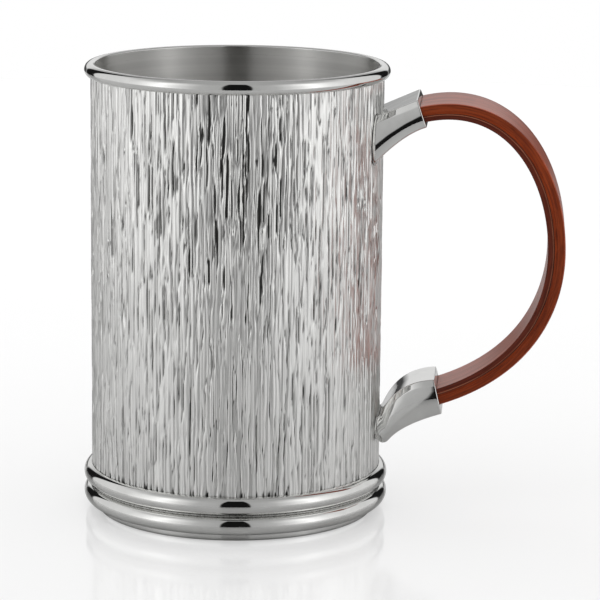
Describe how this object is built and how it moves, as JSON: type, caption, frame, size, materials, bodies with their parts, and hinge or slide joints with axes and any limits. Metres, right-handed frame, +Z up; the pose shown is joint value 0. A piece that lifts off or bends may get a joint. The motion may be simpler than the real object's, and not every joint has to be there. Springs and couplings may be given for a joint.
{
  "type": "tankard",
  "caption": "Lidless pewter tankard with a bark-cast barrel, rolled rim, beaded foot and a laminated wooden strap handle in two cast sockets.",
  "frame": {"origin": "on the barrel's axis, at the level of the table that the foot ring stands on", "axes": "+Z up the barrel's axis towards the rim, +X from the axis out towards the handle, +Y completing a right-handed set"},
  "size_m": [0.1397, 0.089, 0.131],
  "materials": {
    "bark_pewter": "cast pewter, ridges burnished and hollows left dark",
    "polished_pewter": "polished pewter",
    "turned_pewter": "lathe-turned satin pewter",
    "solder": "bright solder",
    "adhesive": "dark set resin",
    "veneer_wood": "satin lacquer",
    "red_wood": "satin lacquer",
    "core_wood": "satin lacquer",
    "dark_wood": "satin lacquer",
    "pale_wood": "satin lacquer",
    "inner_wood": "satin lacquer"
  },
  "bodies": {
    "root": {"barrel": "bark_pewter", "rim_bead": "polished_pewter", "base_disc": "turned_pewter", "floor_solder": "solder", "foot_ring": "polished_pewter", "lower_foot_bead": "polished_pewter", "upper_foot_bead": "polished_pewter", "foot_seam_wire": "solder", "upper_socket": "polished_pewter", "lower_socket": "polished_pewter", "upper_solder": "solder", "lower_solder": "solder", "upper_adhesive": "adhesive", "lower_adhesive": "adhesive", "outer_veneer": "veneer_wood", "outer_ply": "red_wood", "core_ply": "core_wood", "dark_line_ply": "dark_wood", "pale_line_ply": "pale_wood", "inner_ply": "inner_wood"}
  },
  "joints": []
}
